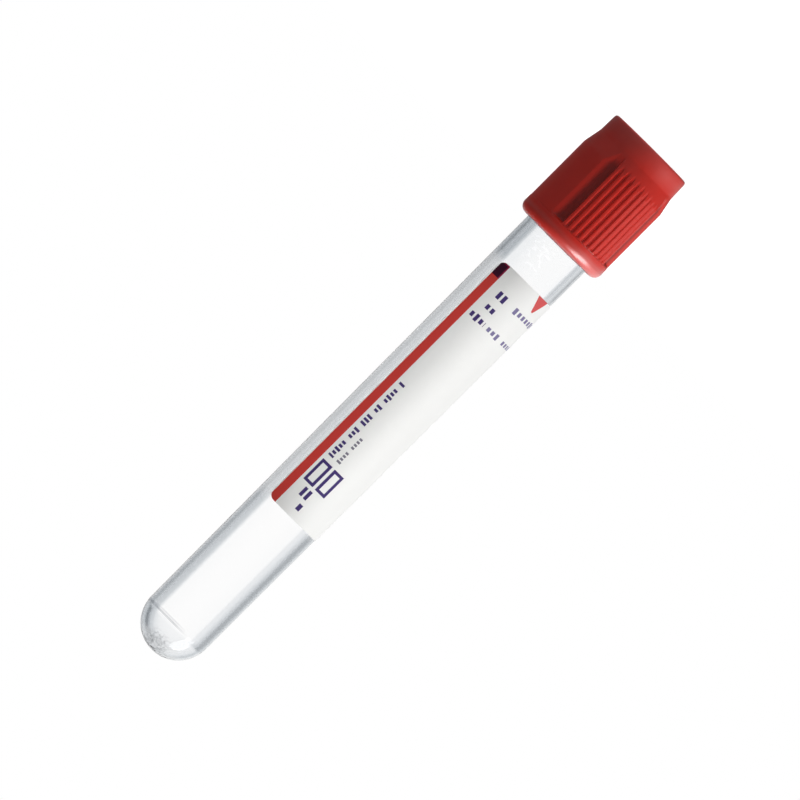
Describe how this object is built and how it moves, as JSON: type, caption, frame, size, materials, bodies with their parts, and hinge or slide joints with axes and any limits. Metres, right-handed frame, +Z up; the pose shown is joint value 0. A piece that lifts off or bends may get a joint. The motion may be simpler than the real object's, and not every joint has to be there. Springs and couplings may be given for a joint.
{
  "type": "blood collection tube",
  "caption": "Clear round-bottomed plastic tube for blood, with a wrapped label and a ribbed red safety closure, shield and stopper, that pulls off.",
  "frame": {"origin": "on the surface that the closure's flat top stands on, in the tube's axis", "axes": "+Z up, along the tube's axis from the closure's top to the round end; -Y the front, which shows the label's striped edge and the shield's ribs"},
  "size_m": [0.017, 0.017, 0.1123],
  "materials": {
    "clear_plastic": "gloss",
    "label_film": "satin",
    "red_plastic": "satin",
    "stopper_rubber": "matte"
  },
  "bodies": {
    "tube": {"tube": "clear_plastic", "label": "label_film"},
    "closure": {"shield": "red_plastic", "stopper": "stopper_rubber"}
  },
  "joints": [
    {"name": "closure_pull", "type": "slide", "parent": "closure", "child": "tube", "axis": [0, 0, 1], "range_m": [0, 0.02]}
  ]
}
